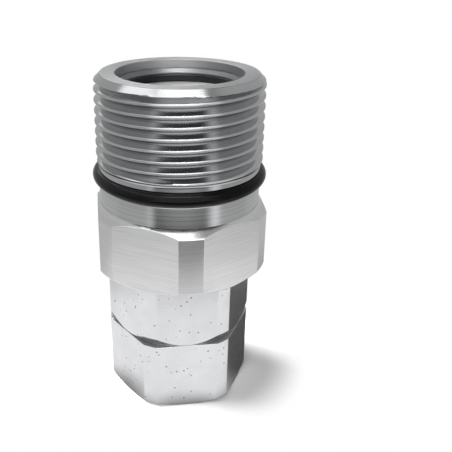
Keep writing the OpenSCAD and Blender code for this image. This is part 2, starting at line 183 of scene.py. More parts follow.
def skin(name, grids, sharp_deg=32):
    """One mesh from grids of points in mm, each (grid, material index). The last column meets the
    first, and faces point away from the axis where the outline runs upwards. Normals follow the
    large faces, so flats look flat up to their eased edges."""
    verts, faces, slots, start = [], [], [], 0
    for grid, slot in grids:
        rows, cols = grid.shape[:2]
        index = start + np.arange(rows * cols).reshape(rows, cols)
        quads = [index[:-1, :-1], index[:-1, 1:], index[1:, 1:], index[1:, :-1]]
        quads = np.stack(quads, -1).reshape(-1, 4)
        verts.append(grid.reshape(-1, 3))
        faces.append(quads)
        slots.append(np.full(len(quads), slot))
        start += rows * cols
    mesh = bpy.data.meshes.new(name)
    mesh.from_pydata((np.concatenate(verts) / 1000).tolist(), [], np.concatenate(faces).tolist())
    mesh.polygons.foreach_set("material_index", np.concatenate(slots).astype(np.int32))
    whole = bmesh.new()
    whole.from_mesh(mesh)
    bmesh.ops.remove_doubles(whole, verts=whole.verts, dist=2e-6)
    bmesh.ops.dissolve_degenerate(whole, edges=whole.edges, dist=1e-6)
    whole.to_mesh(mesh)
    whole.free()
    mesh.shade_smooth()
    mesh.set_sharp_from_angle(angle=math.radians(sharp_deg))
    made = bpy.data.objects.new(name, mesh)
    bpy.context.scene.collection.objects.link(made)
    flats = made.modifiers.new("flats", "WEIGHTED_NORMAL")
    flats.keep_sharp = True
    shown = made.evaluated_get(bpy.context.evaluated_depsgraph_get())
    made.data = bpy.data.meshes.new_from_object(shown)
    made.data.name = name
    made.modifiers.clear()
    return made


def thread_outline(depth, flank, crest, pitch, ease, steps=3):
    """One pitch of a thread as (height, drop below the crest), from the middle of one crest to
    the middle of the next, with eased corners."""
    half = crest / 2
    points = [(0, 0), (half, 0), (half + flank, depth), (pitch - half - flank, depth),
              (pitch - half, 0), (pitch, 0)]
    return eased(points, ease, closed=False, steps=steps)


def nose_thread(angles):
    """Grid of the coupling thread. Its rows climb one pitch in a turn, so the last column meets
    the first a pitch higher. The radius is the crest radius less the drop at that row, fading
    out at the land and cut by the 45 degree mouth chamfer. Under the chamfer the thread is
    filled to a full collar, which it breaks through only behind, where it runs out."""
    phase, ease, row_step = -0.1, 0.12, 0.25
    run_out, run_out_l, blank_out, blank_out_l = 0.9, 1.4, 1.2, 1.6
    collar_low, collar_l = 0.12, 0.3
    break_at, break_half, break_soft = np.radians([95, 30, 25])
    outline = thread_outline(THREAD_DEPTH, FLANK, CREST, PITCH, ease, steps=4)
    in_pitch = np.concatenate([outline[:-1, 0], np.arange(0, PITCH, row_step)])
    in_pitch = np.unique(np.round(in_pitch, 4))
    turns = np.arange(-2, math.ceil((MOUTH_Z - THREAD_Z) / PITCH) + 2)
    rows = (turns[:, None] * PITCH + in_pitch).ravel()
    climb = PITCH * (angles / (2 * np.pi) - 0.75) + THREAD_Z + phase
    z = np.clip(rows[:, None] + climb, LAND_Z, MOUTH_Z)
    drop = np.interp((z - climb) % PITCH, outline[:, 0], outline[:, 1])
    fade = np.clip((z - (THREAD_Z - run_out)) / run_out_l, 0, 1)
    rise = np.clip((z - (THREAD_Z - blank_out)) / blank_out_l, 0, 1)
    chamfer_z = MOUTH_Z - THREAD_DEPTH
    blank = np.minimum(LAND_R + (THREAD_R - LAND_R) * rise * rise * (3 - 2 * rise),
                       THREAD_R - np.clip(z - chamfer_z, 0, THREAD_DEPTH))
    off = np.abs((angles - break_at + np.pi) % (2 * np.pi) - np.pi)
    collar = np.clip((z - (chamfer_z - collar_low)) / collar_l, 0, 1)
    collar = collar * np.clip((off - break_half) / break_soft, 0, 1)
    r = np.minimum(blank, THREAD_R - drop * fade * (1 - collar))
    return np.stack([r * np.cos(angles), r * np.sin(angles), z], -1)


def tool_marks(tree, coordinates, across, along, strength, distance, seed=0.0):
    """Bump from the marks that a lathe tool leaves: noise that changes with height and with
    distance from the axis, and hardly round it. across and along are marks per metre."""
    parts = add(tree, "ShaderNodeSeparateXYZ", {0: coordinates})
    flat = add(tree, "ShaderNodeCombineXYZ", {0: parts.outputs[0], 1: parts.outputs[1]})
    out = add(tree, "ShaderNodeVectorMath", {0: flat.outputs[0]}, operation="LENGTH")
    place = add(tree, "ShaderNodeCombineXYZ", {0: out.outputs["Value"], 1: parts.outputs[2], 2: seed})
    fine = add(tree, "ShaderNodeTexNoise", {"Vector": place.outputs[0], "Scale": across, "Detail": 3.0,
                                            "Roughness": 0.6})
    wander = add(tree, "ShaderNodeTexNoise", {"Vector": coordinates, "Scale": along, "Detail": 2.0})
    mixed = add(tree, "ShaderNodeMath", {0: wander.outputs[0], 1: 0.25, 2: fine.outputs[0]},
                operation="MULTIPLY_ADD")
    return mixed, add(tree, "ShaderNodeBump", {"Height": mixed.outputs[0], "Strength": strength,
                                               "Distance": distance})


def from_axis(tree, here):
    """Distance of a point from the part's axis, in metres."""
    across = add(tree, "ShaderNodeVectorMath", {0: here, 1: (1.0, 1.0, 0.0)}, operation="MULTIPLY")
    return add(tree, "ShaderNodeVectorMath", {0: across.outputs[0]},
               operation="LENGTH").outputs["Value"]


def plated(name, colour, roughness, across, strength, stretch=0.0, dark="#8e9092", shaded_below_r=None):
    """Clear zinc on turned steel: a metal whose tone wanders a little, with lathe marks. Below the
    radius given as its last argument, in mm, it is darkened with painted shade."""
    made, tree = material(name)
    here = add(tree, "ShaderNodeTexCoord").outputs["Object"]
    wander, mark_depth, shade_fade = 90.0, 0.00006, 0.15
    marks, bump = tool_marks(tree, here, across, wander, strength, mark_depth)
    tone = add(tree, "ShaderNodeMix", {0: marks.outputs[0], 6: srgb(dark), 7: srgb(colour)},
               data_type="RGBA")
    # Painted shade: below the given radius the tone is mixed towards the dark grey #6e6f70.
    if shaded_below_r:
        root_shade_mask = add(tree, "ShaderNodeMapRange", {
            0: from_axis(tree, here), 1: shaded_below_r / 1000, 2: (shaded_below_r + shade_fade) / 1000,
            3: 1.0, 4: 0.0})
        tone = add(tree, "ShaderNodeMix", {0: root_shade_mask.outputs[0], 6: tone.outputs[2], 7: srgb("#6e6f70")},
                   data_type="RGBA")
    rough = add(tree, "ShaderNodeMapRange", {0: marks.outputs[0], 1: 0.3, 2: 0.8, 3: roughness * 0.8,
                                             4: roughness * 1.25})
    shader = add(tree, "ShaderNodeBsdfPrincipled", {
        "Base Color": tone.outputs[2], "Metallic": 1.0, "Roughness": rough.outputs[0],
        "Normal": bump.outputs[0], "Anisotropic": stretch})
    if stretch:
        around = add(tree, "ShaderNodeTangent", direction_type="RADIAL", axis="Z")
        tree.links.new(around.outputs[0], shader.inputs["Tangent"])
        shader.inputs["Anisotropic Rotation"].default_value = 0.25
    add(tree, "ShaderNodeOutputMaterial", {0: shader.outputs[0]})
    return made


def milled(name, colour, roughness, corner_r):
    """Clear zinc on a milled flat: fine level lines where the cutter's teeth passed, three
    quarters of a millimetre apart, and broad patches where the feed changed. The turned corners
    between the flats, at the radius corner_r in mm, mirror more sharply towards their top."""
    made, tree = material(name)
    here = add(tree, "ShaderNodeTexCoord").outputs["Object"]
    lines = add(tree, "ShaderNodeTexWave", {
        "Vector": here, "Scale": 420.0, "Distortion": 5.0, "Detail": 4.0, "Detail Scale": 0.6},
        bands_direction="Z")
    level_here = add(tree, "ShaderNodeMapping", {0: here, 3: (70.0, 70.0, 1700.0)})
    broken = add(tree, "ShaderNodeTexNoise", {"Vector": level_here.outputs[0], "Scale": 1.0,
                                              "Detail": 2.0})
    lines = add(tree, "ShaderNodeMath", {0: lines.outputs[0], 1: 0.35, 2: broken.outputs[0]},
                operation="MULTIPLY_ADD")
    patches = add(tree, "ShaderNodeTexNoise", {"Vector": here, "Scale": 110.0, "Detail": 3.0})
    tone = add(tree, "ShaderNodeMix", {0: lines.outputs[0], 6: srgb("#d6d7d8"), 7: srgb(colour)},
               data_type="RGBA")
    rough = add(tree, "ShaderNodeMapRange", {0: patches.outputs[0], 1: 0.3, 2: 0.7, 3: roughness * 0.85,
                                             4: roughness * 1.2})
    height = add(tree, "ShaderNodeSeparateXYZ", {0: here}).outputs["Z"]
    corner_rough = add(tree, "ShaderNodeMapRange", {
        0: height, 1: (BODY_Z + 1) / 1000, 2: (BODY_Z + 16) / 1000, 3: 0.4, 4: 0.25})
    corner = add(tree, "ShaderNodeMapRange", {0: from_axis(tree, here), 1: (corner_r - 0.1) / 1000,
                                              2: (corner_r - 0.03) / 1000, 3: 0.0, 4: 1.0})
    rough = add(tree, "ShaderNodeMix", {0: corner.outputs[0], 2: rough.outputs[0],
                                        3: corner_rough.outputs[0]}, data_type="FLOAT")
    bump = add(tree, "ShaderNodeBump", {"Height": lines.outputs[0], "Strength": 0.2,
                                        "Distance": 0.00003})
    shader = add(tree, "ShaderNodeBsdfPrincipled", {
        "Base Color": tone.outputs[2], "Metallic": 1.0, "Roughness": rough.outputs[0],
        "Normal": bump.outputs[0]})
    add(tree, "ShaderNodeOutputMaterial", {0: shader.outputs[0]})
    return made


# Cut thread and neck mirror sharply, with painted shade darkening the thread's roots. The face is
# duller and grey, the bores darker with painted shade, the chamfers nearly white, and the flats bright
# with a soft sheen.
thread_zinc = plated("zinc_on_cut_thread", "#cfd0d1", 0.11, 3000.0, 0.06, dark="#a6a7a8",
                     shaded_below_r=THREAD_ROOT_R - 0.02)
neck_zinc = plated("zinc_on_turned_neck", "#e0e1e2", 0.16, 2400.0, 0.04, dark="#acadae")
face_zinc = plated("zinc_on_faced_steel", "#c3c4c5", 0.45, 2600.0, 0.25, stretch=0.3, dark="#989a9b")
# The bores and the ledge under the mouth get a darker tone than the outside: painted shade inside the
# part.
painted_shade_bore_zinc = plated("zinc_in_bores_painted_shade", "#98999b", 0.3, 2400.0, 0.3, dark="#6d6e70")
chamfer_zinc = plated("zinc_on_turned_chamfer", "#f0f0f1", 0.13, 2600.0, 0.15, dark="#c8c9ca")
hex_zinc = milled("zinc_on_milled_flat", "#f0f0f1", 0.33, BODY_CORNER_R)

body_angles = rounds(BODY_FLAT_R, BODY_CORNER_R)
mouth_edge = [(THREAD_ROOT_R, MOUTH_Z), (MOUTH_R, MOUTH_Z)]
bores = [
    (MOUTH_R, MOUTH_Z - MOUTH_BORE_L), (POCKET_R, MOUTH_Z - MOUTH_BORE_L), (POCKET_R, POCKET_Z),
    (HEAD_BORE_R, POCKET_Z), (HEAD_BORE_R, SEAT_Z), (RECESS_R, SEAT_Z - (RECESS_R - HEAD_BORE_R)),
    (RECESS_R, RECESS_Z), (CHAMBER_R, CHAMBER_Z), (CHAMBER_R, GUIDE_Z), (GUIDE_BORE_R, GUIDE_Z),
    (GUIDE_BORE_R, RING_Z + RING_H), (RING_GROOVE_R, RING_Z + RING_H), (RING_GROOVE_R, RING_Z),
    (GUIDE_BORE_R, RING_Z), (GUIDE_BORE_R, JOINT_TOP + JOINT_R - GUIDE_BORE_R),
    (JOINT_R, JOINT_TOP),
    (JOINT_R, BODY_Z)]
faced = eased(mouth_edge + bores[:1], FACE_EASE, closed=False)
bored = eased(bores, BORE_EASE, closed=False, steps=3)
ledge = eased([(LAND_R, LAND_Z), (DUST_FLOOR_R, LAND_Z), (DUST_FLOOR_R, DUST_Z), (NECK_R, DUST_Z),
               (NECK_R, NECK_Z)][::-1], LEDGE_EASE, closed=False)
hex_r = hexagon(body_angles, BODY_FLAT_R, BODY_CORNER_R, 0.0)
flat_rows = np.stack([
    np.stack([np.full_like(hex_r, JOINT_R), np.full_like(hex_r, BODY_Z)], -1),
    np.stack([np.full_like(hex_r, BODY_FLAT_R - HEX_INSET), np.full_like(hex_r, BODY_Z)], -1),
    np.stack([hex_r, BODY_Z + (hex_r - BODY_FLAT_R + HEX_INSET) * LOW_SLOPE], -1),
    np.stack([hex_r, NECK_Z - (hex_r - NECK_R) * TOP_SLOPE], -1),
    np.stack([np.full_like(hex_r, NECK_R), np.full_like(hex_r, NECK_Z)], -1)], 1)
hex_rows = eased(flat_rows, HEX_EASE, closed=False)
cut = [np.s_[:, 0:8], np.s_[:, 7:13], np.s_[:, 12:18], np.s_[:, 17:]]
# Slots: 0 thread, 1 neck, 2 face, 3 flats, 4 bores, 5 chamfers
body = skin("turned_body", [
    (turned(hex_rows[cut[0]], body_angles), 5), (turned(hex_rows[cut[1]], body_angles), 5),
    (turned(hex_rows[cut[2]], body_angles), 3), (turned(hex_rows[cut[3]], body_angles), 5),
    (turned(ledge, body_angles), 1), (nose_thread(body_angles), 0),
    (turned(faced, body_angles), 2), (turned(bored, body_angles), 4)])
for finish in (thread_zinc, neck_zinc, face_zinc, hex_zinc, painted_shade_bore_zinc, chamfer_zinc):
    body.data.materials.append(finish)
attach(body, "housing")
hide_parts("body")


# Adapter: drawn hexagonal bar, its groove, chamfers, spigot and port turned, then plated like the
# body. The drawn flats are smooth and bright, with small pits and specks where the scale was
# pressed in. The port carries a one inch parallel pipe thread.
PORT_FLAT_R, PORT_CORNER_R, PORT_HEX_L = 19.8, 21.7, 40.9
GROOVE_Z, GROOVE_L, WAIST_R, PORT_CHAMFER = 21.3, 2.9, 19.6, 0.8
PORT_CREST_R, PORT_ROOT_R, PORT_PITCH, PORT_THREAD_L, STEP_Z = 15.15, 16.625, 2.309, 18.6, 21.6
PASSAGE_R, PASSAGE_BEVEL, SPIGOT_Z, SPIGOT_R = 12.52, 0.8, 55.97, 18.55
JOINT_GROOVE_Z, JOINT_GROOVE_W, JOINT_FLOOR_R, JOINT_MALE_R = 51.08, 3.59, 16.12, 19.5
SPIGOT_STEP, SPIGOT_BEVEL, SPIGOT_EASE, CREST_EASE, CORNER_EASE = 0.95, 0.6, 0.12, 0.15, 0.6


def port_thread(angles):
    """Grid of the pipe thread, walked downwards. The radius is the crest radius plus the drop of
    a 55 degree thread at its climbing height, opened by the countersink at the port face."""
    depth = PORT_ROOT_R - PORT_CREST_R
    flank = depth * math.tan(math.radians(27.5))
    flat = PORT_PITCH / 2 - flank
    ease, run_out_l, run_out_share = 0.3, 1.2, 0.4
    outline = thread_outline(depth, flank, flat, PORT_PITCH, ease, steps=4)
    turns = np.arange(-2, math.ceil(PORT_THREAD_L / PORT_PITCH) + 2)
    rows = (turns[:, None] * PORT_PITCH + outline[:-1, 0]).ravel()
    lift = PORT_PITCH * (angles / (2 * np.pi))
    z = np.clip(rows[:, None] + lift, 0, PORT_THREAD_L)
    drop = np.interp((z - lift) % PORT_PITCH, outline[:, 0], outline[:, 1])
    fade = np.clip((PORT_THREAD_L - z) / run_out_l, 0, 1)
    r = np.maximum(PORT_CREST_R + drop * (1 - (1 - fade) * run_out_share),
                   PORT_ROOT_R + PASSAGE_BEVEL - z)
    return np.stack([r * np.cos(angles), r * np.sin(angles), z], -1)[::-1]


def drawn_bar(name):
    """Clear zinc on drawn bar: nearly white and smooth, with faint upright drawing lines, soft
    patches, and sparse dark pits a few tenths of a millimetre wide."""
    made, tree = material(name)
    here = add(tree, "ShaderNodeTexCoord").outputs["Object"]
    upright = add(tree, "ShaderNodeMapping", {0: here, 3: (900.0, 900.0, 35.0)})
    lines = add(tree, "ShaderNodeTexNoise", {"Vector": upright.outputs[0], "Scale": 1.0,
                                             "Detail": 3.0})
    pits = add(tree, "ShaderNodeTexVoronoi", {"Vector": here, "Scale": 900.0, "Randomness": 1.0})
    chance = add(tree, "ShaderNodeTexWhiteNoise", {"Vector": pits.outputs["Position"]})
    chosen = add(tree, "ShaderNodeMath", {0: chance.outputs["Value"], 1: 0.84},
                 operation="GREATER_THAN")
    near = add(tree, "ShaderNodeMapRange", {0: pits.outputs["Distance"], 1: 0.12, 2: 0.28,
                                            3: 1.0, 4: 0.0})
    pit = add(tree, "ShaderNodeMath", {0: chosen.outputs[0], 1: near.outputs[0]}, operation="MULTIPLY")
    soft = add(tree, "ShaderNodeTexNoise", {"Vector": here, "Scale": 160.0, "Detail": 4.0})
    base = add(tree, "ShaderNodeMix", {0: soft.outputs[0], 6: srgb("#dcdddf"), 7: srgb("#f4f4f5")},
               data_type="RGBA")
    tone = add(tree, "ShaderNodeMix", {0: pit.outputs[0], 6: base.outputs[2], 7: srgb("#6b6864")},
               data_type="RGBA")
    height = add(tree, "ShaderNodeMath", {0: pit.outputs[0], 1: -1.0, 2: lines.outputs[0]},
                 operation="MULTIPLY_ADD")
    bump = add(tree, "ShaderNodeBump", {"Height": height.outputs[0], "Strength": 0.25,
                                        "Distance": 0.00004})
    shader = add(tree, "ShaderNodeBsdfPrincipled", {"Base Color": tone.outputs[2], "Metallic": 1.0,
                                                    "Roughness": 0.27, "Normal": bump.outputs[0]})
    add(tree, "ShaderNodeOutputMaterial", {0: shader.outputs[0]})
    return made


# The drawn flats look nearly white. The groove looks grey with plain tool marks, the port softer.
bar_zinc = drawn_bar("zinc_on_drawn_bar")
groove_zinc = plated("zinc_on_turned_groove", "#cfd0d1", 0.3, 2600.0, 0.7)
port_zinc = plated("zinc_on_tapped_port", "#d6d7d8", 0.24, 2600.0, 0.3)

first_face = math.radians(30)
bar_angles = rounds(PORT_FLAT_R, PORT_CORNER_R, first_face)
bar_r = hexagon(bar_angles, PORT_FLAT_R, PORT_CORNER_R, first_face)
level = np.ones_like(bar_r)
chamfer_slope = PORT_CHAMFER / (PORT_CORNER_R - PORT_FLAT_R)
groove_slope = GROOVE_L / (PORT_CORNER_R - WAIST_R)
edge_break = np.full((8, 1), CREST_EASE)
edge_break[2] = CORNER_EASE
bar_rows = eased(np.stack([
    np.stack([level * (PORT_ROOT_R + PASSAGE_BEVEL), level * 0], -1),
    np.stack([level * (PORT_FLAT_R - HEX_INSET), level * 0], -1),
    np.stack([bar_r, (bar_r - PORT_FLAT_R + HEX_INSET) * chamfer_slope], -1),
    np.stack([bar_r, level * GROOVE_Z], -1),
    np.stack([level * WAIST_R, level * GROOVE_Z], -1),
    np.stack([bar_r, GROOVE_Z + (bar_r - WAIST_R) * groove_slope], -1),
    np.stack([bar_r, level * PORT_HEX_L], -1),
    np.stack([level * JOINT_MALE_R, level * PORT_HEX_L], -1)], 1), edge_break, closed=False)
spigot = eased([
    (JOINT_MALE_R, PORT_HEX_L), (JOINT_MALE_R, JOINT_TOP), (SPIGOT_R, JOINT_TOP + SPIGOT_STEP),
    (SPIGOT_R, JOINT_GROOVE_Z), (JOINT_FLOOR_R, JOINT_GROOVE_Z),
    (JOINT_FLOOR_R, JOINT_GROOVE_Z + JOINT_GROOVE_W), (SPIGOT_R, JOINT_GROOVE_Z + JOINT_GROOVE_W),
    (SPIGOT_R, SPIGOT_Z - SPIGOT_BEVEL), (SPIGOT_R - SPIGOT_BEVEL, SPIGOT_Z),
    (PASSAGE_R + PASSAGE_BEVEL, SPIGOT_Z),
    (PASSAGE_R, SPIGOT_Z - PASSAGE_BEVEL), (PASSAGE_R, STEP_Z + PASSAGE_BEVEL),
    (PASSAGE_R + PASSAGE_BEVEL, STEP_Z), (PORT_ROOT_R, STEP_Z), (PORT_ROOT_R, PORT_THREAD_L)],
    SPIGOT_EASE, closed=False, steps=3)
# Slots: 0 drawn flats, 1 turned faces and groove, 2 spigot and port
adapter = skin("hexagonal_adapter", [
    (turned(bar_rows[:, 0:13], bar_angles), 1), (turned(bar_rows[:, 12:18], bar_angles), 0),
    (turned(bar_rows[:, 17:28], bar_angles), 1), (turned(bar_rows[:, 27:33], bar_angles), 0),
    (turned(bar_rows[:, 32:], bar_angles), 1), (turned(spigot, bar_angles), 2),
    (np.concatenate([turned(spigot[-1:], bar_angles), port_thread(bar_angles)]), 2)])
for finish in (bar_zinc, groove_zinc, port_zinc):
    adapter.data.materials.append(finish)
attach(adapter, "housing")
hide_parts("adapter")


# Dust ring: a moulded nitrile O-ring of 4 mm cord, rolled over the thread into its groove. It
# keeps dirt and water out of the screwed joint. The rubber is black, with a thin film of grease.
DUST_CORD_R, DUST_MID_R = 2.0, 23.18


def cord_grid(mid_r, cord_r, mid_z, angles, steps=28):
    """Torus: a circle of the cord's radius carried round the axis, walked so that it faces out."""
    b = np.linspace(0, 2 * np.pi, steps + 1)
    return turned(np.stack([mid_r + cord_r * np.cos(b), mid_z + cord_r * np.sin(b)], -1), angles)


def rubber(name, colour, roughness, sheen):
    """Moulded rubber: black, with a faint dusty unevenness and a soft even gloss."""
    made, tree = material(name)
    here = add(tree, "ShaderNodeTexCoord").outputs["Object"]
    dust = add(tree, "ShaderNodeTexNoise", {"Vector": here, "Scale": 420.0, "Detail": 5.0})
    dusty = [min(1.0, v * 1.5 + 0.002) for v in srgb(colour)]
    tone = add(tree, "ShaderNodeMix", {0: dust.outputs[0], 6: srgb(colour), 7: dusty},
               data_type="RGBA")
    rough = add(tree, "ShaderNodeMapRange", {0: dust.outputs[0], 1: 0.3, 2: 0.7, 3: roughness * 0.85,
                                             4: roughness * 1.2})
    bump = add(tree, "ShaderNodeBump", {"Height": dust.outputs[0], "Strength": 0.15,
                                        "Distance": 0.00003})
    shader = add(tree, "ShaderNodeBsdfPrincipled", {
        "Base Color": tone.outputs[2], "Specular IOR Level": sheen,
        "Roughness": rough.outputs[0], "Normal": bump.outputs[0]})
    add(tree, "ShaderNodeOutputMaterial", {0: shader.outputs[0]})
    return made


# Greased nitrile looks deep black with one narrow light along it.
nitrile = rubber("moulded_nitrile_rubber", "#050506", 0.05, sheen=0.12)
even_angles = rounds()
dust_cord = cord_grid(DUST_MID_R, DUST_CORD_R, (DUST_Z + LAND_Z) / 2, even_angles)
dust_ring = skin("dust_ring_cord", [(dust_cord, 0)])
dust_ring.data.materials.append(nitrile)
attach(dust_ring, "housing")
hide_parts("dust_o_ring")


# Nose seal and its rings: a black rubber ring that wipes the mating nose, on a white plastic
# backup ring, held down by a pressed steel ring whose bright cone leads the nose in.
RETAINER_Z, RETAINER_H, RETAINER_CONE, RETAINER_R = 94.0, 1.5, 1.1, 16.4
SEAL_Z, SEAL_H, SEAL_R, FIT = 91.6, 2.4, 16.15, 0.03
RETAINER_EASE, LIP_EASE, BACKUP_EASE = 0.06, 0.6, 0.1


def closed_ring(name, corners, ease, finish, body_name, node_name, steps=5):
    """A turned ring from the corners of its section, walked so that it faces outwards."""
    outline = eased(corners, ease, steps=steps)
    made = skin(name, [(turned(np.vstack([outline, outline[:1]]), even_angles), 0)])
    made.data.materials.append(finish)
    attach(made, body_name)
    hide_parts(node_name)
    return made


# The fine turned cone shows a soft bright arc, the seal a low gloss, the plastic an even matt.
cone_zinc = plated("zinc_on_fine_turned_cone", "#8c8d8e", 0.3, 2600.0, 0.1, dark="#767778")
seal_black = rubber("moulded_seal_rubber", "#060606", 0.16, sheen=0.5)
backup_white = rubber("turned_white_plastic", "#cfcdc4", 0.4, sheen=0.5)
out_r = POCKET_R - FIT
closed_ring("seal_retainer_cone", [(RETAINER_R, RETAINER_Z), (out_r, RETAINER_Z),
            (out_r, RETAINER_Z + RETAINER_H), (RETAINER_R, RETAINER_Z + RETAINER_H - RETAINER_CONE)],
            RETAINER_EASE, cone_zinc, "housing", "seal_retainer_ring")
closed_ring("nose_seal_lip", [(SEAL_R, SEAL_Z), (out_r, SEAL_Z), (out_r, SEAL_Z + SEAL_H - FIT),
            (SEAL_R, SEAL_Z + SEAL_H - FIT)],
            LIP_EASE, seal_black, "housing", "nose_seal")
closed_ring("nose_seal_backup", [(HEAD_BORE_R, POCKET_Z), (out_r, POCKET_Z), (out_r, SEAL_Z),
            (HEAD_BORE_R, SEAL_Z)],
            BACKUP_EASE, backup_white, "housing", "nose_seal_backup_ring")


# Poppet: turned steel with a flat face in the mouth and a long stem behind it. Its rubber seal is
# clamped on a spigot under the head by a washer, a split spring washer and a nut.
POPPET_R, POPPET_Z, HEAD_Z, VALVE_SEAL_Z, SEAL_SPIGOT_R = 15.9, 91.7, 88.2, 85.4, 11.5
VALVE_SEAL_R, SEAL_LAND, STEM_R, STEM_NECK_R = 16.9, 0.9, 5.0, 4.5
STOP_RING_Z, STOP_RING_H, STEM_END, STEM_BEVEL = 52.4, 1.2, 50.8, 0.5
WASHER_Z, SEAL_BEVEL, STEM_EASE, VALVE_SEAL_EASE, WASHER_EASE = 83.8, 1.0, 0.12, 0.15, 0.2

# Inner steel is satin, with rings round the axis and duller than the plated outside. The face in
# the mouth is duller still, so it looks an even grey.
face_satin = plated("satin_turned_valve_steel", "#c2c3c4", 0.33, 1900.0, 0.35, dark="#77797b")
face_fine = plated("fine_turned_poppet_face", "#cbcbcc", 0.55, 1900.0, 0.6, stretch=0.5,
                   dark="#abacad")
stem_outline = eased([
    (0, STEM_END), (STEM_NECK_R, STEM_END), (STEM_R, STEM_END + STEM_BEVEL), (STEM_R, STOP_RING_Z),
    (STEM_NECK_R, STOP_RING_Z), (STEM_NECK_R, STOP_RING_Z + STOP_RING_H),
    (STEM_R, STOP_RING_Z + STOP_RING_H), (STEM_R, VALVE_SEAL_Z), (SEAL_SPIGOT_R, VALVE_SEAL_Z),
    (SEAL_SPIGOT_R, HEAD_Z), (POPPET_R, HEAD_Z), (POPPET_R, POPPET_Z), (0, POPPET_Z)],
    STEM_EASE, closed=False)
poppet = skin("poppet_head_and_stem", [(turned(stem_outline, even_angles), 0)])
poppet.data.materials.append(face_fine)
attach(poppet, "valve")
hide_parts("poppet")
closed_ring("poppet_seal_ring", [
    (SEAL_SPIGOT_R + FIT, VALVE_SEAL_Z), (VALVE_SEAL_R, VALVE_SEAL_Z),
    (VALVE_SEAL_R, HEAD_Z - SEAL_LAND - SEAL_BEVEL), (POPPET_R, HEAD_Z - SEAL_LAND),
    (POPPET_R, HEAD_Z), (SEAL_SPIGOT_R + FIT, HEAD_Z)],
    VALVE_SEAL_EASE, seal_black, "valve", "poppet_seal")
closed_ring("clamp_washer_disc", [(STEM_R + FIT, WASHER_Z), (VALVE_SEAL_R, WASHER_Z),
            (VALVE_SEAL_R, VALVE_SEAL_Z), (STEM_R + FIT, VALVE_SEAL_Z)],
            WASHER_EASE, face_satin, "valve", "seal_clamp_washer")
# Oiled spring steel looks dark grey, zinc on the nut light grey.
spring_steel = plated("oiled_spring_steel", "#7c7e82", 0.3, 1500.0, 0.3, dark="#4a4c50")
fastener_zinc = plated("zinc_on_fastener_steel", "#cbccce", 0.28, 1500.0, 0.3)
for node_name, finish in (("clamp_nut", fastener_zinc), ("nut_lock_washer", spring_steel),
                          ("stem_stop_ring", spring_steel)):
    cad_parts[node_name].data.materials.clear()
    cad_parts[node_name].data.materials.append(finish)


# Valve spring: round spring wire, cold coiled, with one closed turn at each end. It sits on the
# arms of the guide and presses on the clamp washer.
WIRE_R, SPRING_R, SPRING_TURNS, CLOSED_PITCH = 1.15, 12.2, 4.5, 2.3 * 1.08
SPRING_LOW, SPRING_HIGH, TRAVEL = 61.83, 83.77, 9.0


def coil(turns, low, high, steps=90, sides=16):
    """Tube round a helix: the centre climbs one closed pitch in the first and last turn and
    evenly between. Each end is closed by rings that shrink onto the wire's centre."""
    a = np.linspace(0, turns * 2 * np.pi, int(turns * steps))
    turn = a / (2 * np.pi)
    free = high - low - 2 * WIRE_R - 2 * CLOSED_PITCH
    climb = np.interp(turn, [0, 1, turns - 1, turns], [0, CLOSED_PITCH, CLOSED_PITCH + free,
                                                       2 * CLOSED_PITCH + free])
    b = np.linspace(0, 2 * np.pi, sides + 1)
    shrink = np.pad(np.ones(len(a)), 1)[:, None] * WIRE_R
    a, climb = np.pad(a, 1, mode="edge"), np.pad(climb, 1, mode="edge")
    r = SPRING_R + shrink * np.cos(b)
    z = low + WIRE_R + climb[:, None] - shrink * np.sin(b)
    return np.stack([r * np.cos(a)[:, None], r * np.sin(a)[:, None], z], -1)


spring_grid = coil(SPRING_TURNS, SPRING_LOW, SPRING_HIGH)
spring = skin("coiled_valve_spring", [(spring_grid, 0)], sharp_deg=60)
spring.data.materials.append(spring_steel)
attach(spring, "housing")
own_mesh(spring)
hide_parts("valve_spring")


# Guide: a turned and milled steel spider with three arms, a bronze bush pressed in its hub, and a
# circlip that holds its rim against the body's shoulder. Oil flows between the arms.
# The bush is a warm brown yellow, the only colour in the part.
bronze = plated("turned_bearing_bronze", "#b08a4e", 0.3, 1500.0, 0.3, dark="#7d5f33")
for node_name, finish in (("guide_spider", face_satin), ("guide_bush", bronze),
                          ("guide_retaining_ring", spring_steel)):
    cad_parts[node_name].data.materials.clear()
    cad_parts[node_name].data.materials.append(finish)


# Joint seals: a small nitrile O-ring and a white plastic backup ring in the spigot's groove,
# squeezed between adapter and body.
JOINT_CORD_R, JOINT_BACKUP_H = 1.2, 1.1
joint_ring = skin("joint_seal_cord", [(cord_grid(
    (JOINT_FLOOR_R + GUIDE_BORE_R) / 2, JOINT_CORD_R,
    JOINT_GROOVE_Z + JOINT_BACKUP_H + 2 * FIT + JOINT_CORD_R, even_angles, 20), 0)])
joint_ring.data.materials.append(nitrile)
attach(joint_ring, "housing")
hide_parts("adapter_o_ring")
closed_ring("joint_backup", [
    (JOINT_FLOOR_R + FIT, JOINT_GROOVE_Z + FIT), (GUIDE_BORE_R - FIT, JOINT_GROOVE_Z + FIT),
    (GUIDE_BORE_R - FIT, JOINT_GROOVE_Z + JOINT_BACKUP_H),
    (JOINT_FLOOR_R + FIT, JOINT_GROOVE_Z + JOINT_BACKUP_H)],
    BACKUP_EASE, backup_white, "housing", "adapter_backup_ring")


# Studio: a white table that runs out into a white sweep, a soft lamp high at the back left and a
# weaker one at the front left. What the metal mirrors is a light tent: bright boxes in front and
# on the left, a lamp strip and a small lamp overhead, dark gaps at the back and on the right.
SWEEP_R, WHITE = 0.9, "#ffffff"


def ramp(tree, value, low, high):
    """0 below low, 1 above high, eased between; low above high turns it round."""
    return add(tree, "ShaderNodeMapRange", {0: value, 1: low, 2: high, 3: 0.0, 4: 1.0},
               interpolation_type="SMOOTHSTEP").outputs[0]


def times(tree, *values):
    """Product of values."""
    total = values[0]
    for value in values[1:]:
        total = add(tree, "ShaderNodeMath", {0: total, 1: value}, operation="MULTIPLY").outputs[0]
    return total


